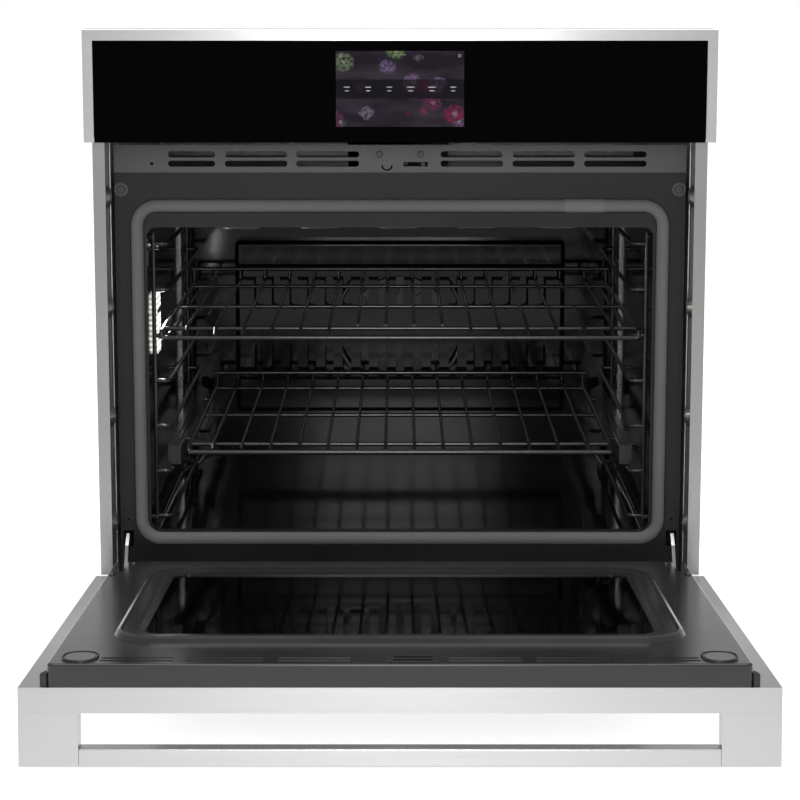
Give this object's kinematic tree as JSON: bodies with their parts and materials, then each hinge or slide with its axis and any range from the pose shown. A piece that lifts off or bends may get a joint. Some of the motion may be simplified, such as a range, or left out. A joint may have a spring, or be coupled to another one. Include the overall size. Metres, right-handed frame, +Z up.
{
  "type": "wall oven",
  "caption": "Built-in single wall oven with an open drop-down door, a bar handle, wire racks on side ladders and a glass control panel with a display.",
  "frame": {"origin": "centre of the chassis base face", "axes": "+Z up, the front of the oven faces -Y, +X to the right seen from the front"},
  "size_m": [0.762, 1.2003, 0.737],
  "materials": {
    "stainless": "brushed",
    "dark_enamel": "gloss enamel",
    "galvanised": "zinc coated sheet",
    "black_glass": "black glass",
    "display": "colour display",
    "wool": "mineral wool",
    "gasket": "woven glass fibre",
    "chrome": "bright",
    "rack_wire": "dark enamelled wire",
    "glide_steel": "black coated steel",
    "bright_steel": "satin",
    "element": "oxidised alloy",
    "motor": "satin",
    "board": "circuit board",
    "lamp_glass": "clear",
    "rubber": "satin"
  },
  "bodies": {
    "chassis": {"air_deck": "galvanised", "back_panel": "galvanised", "bake_element": "element", "base_panel": "galvanised", "blower_housing": "galvanised", "blower_motor": "motor", "bottom_vent_trim": "stainless", "broil_element": "element", "cavity_insulation": "wool", "cavity_liner": "dark_enamel", "chassis_screws": "chrome", "conduit_gland": "chrome", "control_board": "board", "control_bracket": "galvanised", "control_glass": "black_glass", "control_panel_frame": "stainless", "convection_element": "element", "convection_motor": "motor", "display_module": "display", "door_gasket": "gasket", "fan_cover": "dark_enamel", "front_frame": "dark_enamel", "gasket_joiner": "chrome", "glide_outer_rails": "glide_steel", "hinge_arms": "chrome", "ladder_left": "rack_wire", "ladder_right": "rack_wire", "lamp_housing": "galvanised", "lamp_lens": "lamp_glass", "lock_body": "galvanised", "probe_jack": "chrome", "rear_baffles": "bright_steel", "side_panel_left": "galvanised", "side_panel_right": "galvanised", "side_trim_left": "stainless", "side_trim_right": "stainless", "temperature_sensor": "bright_steel", "top_panel": "galvanised", "vent_panel": "dark_enamel"},
    "door": {"door_skin": "stainless", "door_outer_glass": "black_glass", "door_middle_glass": "black_glass", "door_inner_glass": "black_glass", "door_liner": "dark_enamel", "door_insulation": "wool", "handle_bar": "stainless", "handle_ends": "stainless", "strike_plate": "dark_enamel", "door_bumpers": "rubber", "door_screws": "chrome", "hinge_bodies": "galvanised", "hinge_pins": "chrome", "hinge_springs": "chrome"},
    "upper_rack": {"upper_rack": "rack_wire"},
    "lower_rack": {"lower_rack": "rack_wire", "glide_inner_members": "glide_steel"},
    "glide_middle": {"glide_middle_members": "glide_steel"},
    "convection_fan": {"convection_fan": "bright_steel"},
    "blower_wheel": {"blower_wheel": "bright_steel"},
    "lock_hook": {"lock_hook": "chrome"}
  },
  "joints": [
    {"name": "door_hinge", "type": "hinge", "parent": "chassis", "child": "door", "pos_m": [0, -0.3433, 0.0422], "axis": [-1, 0, 0], "range_deg": [0, 85.92]},
    {"name": "upper_rack_slide", "type": "slide", "parent": "chassis", "child": "upper_rack", "axis": [0, 1, 0], "range_m": [-0.3, 0]},
    {"name": "lower_rack_slide", "type": "slide", "parent": "chassis", "child": "lower_rack", "axis": [0, 1, 0], "range_m": [-0.34, 0]},
    {"name": "glide_middle_slide", "type": "slide", "parent": "chassis", "child": "glide_middle", "axis": [0, 1, 0], "range_m": [-0.18, 0]},
    {"name": "convection_fan_spin", "type": "hinge", "parent": "chassis", "child": "convection_fan", "pos_m": [0, 0.225, 0.292], "axis": [0, 1, 0], "continuous": true},
    {"name": "blower_spin", "type": "hinge", "parent": "chassis", "child": "blower_wheel", "pos_m": [0, 0.125, 0.58], "axis": [0, 0, 1], "continuous": true},
    {"name": "lock_hook_swing", "type": "hinge", "parent": "chassis", "child": "lock_hook", "pos_m": [0.0286, -0.289, 0.57], "axis": [0, 0, 1], "range_deg": [0, 75]}
  ],
  "couplings": [
    {"joint": "glide_middle_slide", "follows": "lower_rack_slide", "ratio": 0.5}
  ]
}
